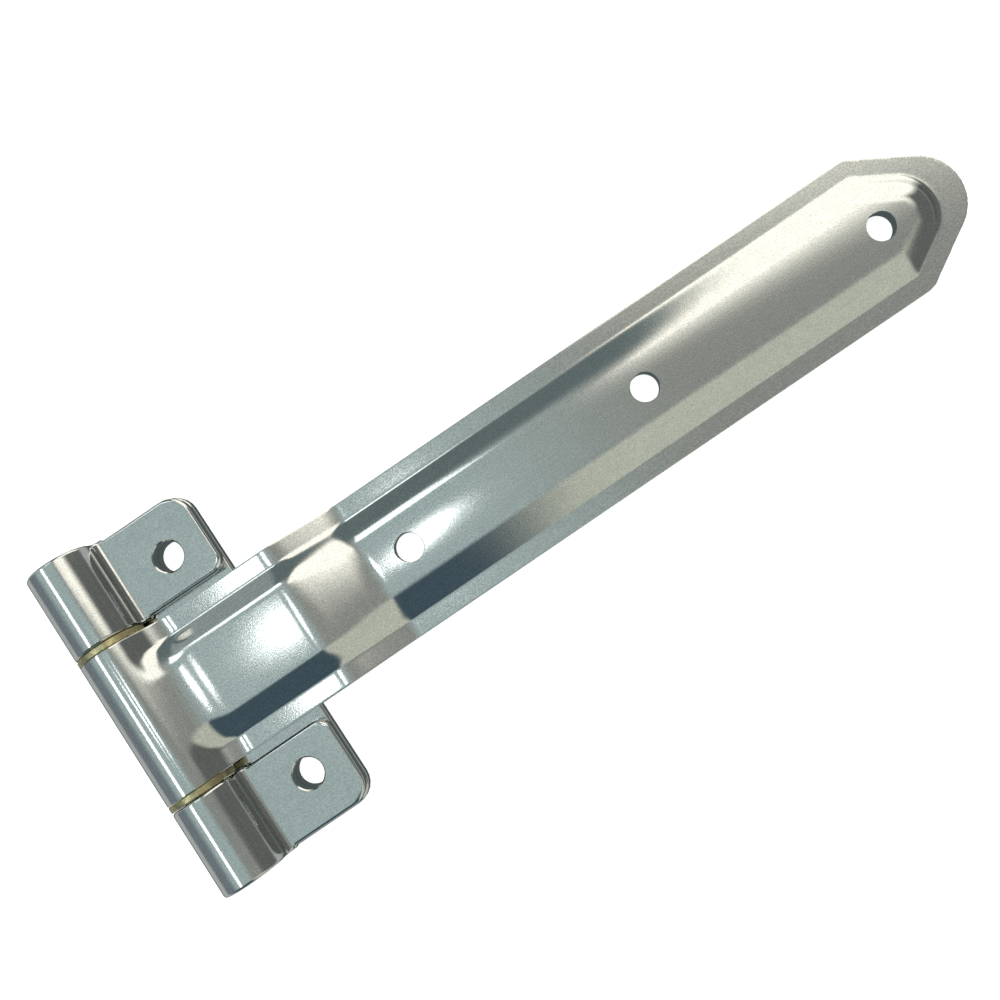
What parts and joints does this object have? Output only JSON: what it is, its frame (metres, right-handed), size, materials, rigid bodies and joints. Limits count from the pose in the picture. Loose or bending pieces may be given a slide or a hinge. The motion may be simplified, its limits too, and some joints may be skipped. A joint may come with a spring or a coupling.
{
  "type": "tee hinge",
  "caption": "Zinc-plated steel tee hinge for a vehicle body door: a long pressed strap with a rolled eye swings on a headless pin between the folded eyes of a bolt-on butt.",
  "frame": {"origin": "middle of the butt's two bolt holes, on the mounting plane under the butt", "axes": "+X along the strap to its tip, +Y along the hinge pin, +Z out of the mounting plane"},
  "size_m": [0.2831, 0.1034, 0.0201],
  "materials": {
    "zinc_steel": "bright zinc plating with a pale blue-green passivate, faintly mottled",
    "pin_steel": "plain drawn steel, cut ends",
    "washer_brass": "dull yellow"
  },
  "bodies": {
    "butt": {"butt_bracket": "zinc_steel", "hinge_pin": "pin_steel", "upper_washer": "washer_brass", "lower_washer": "washer_brass"},
    "strap": {"strap": "zinc_steel"}
  },
  "joints": [
    {"name": "strap_swing", "type": "hinge", "parent": "butt", "child": "strap", "pos_m": [-0.0265, 0, 0.01005], "axis": [0, -1, 0], "range_deg": [0, 270]}
  ]
}
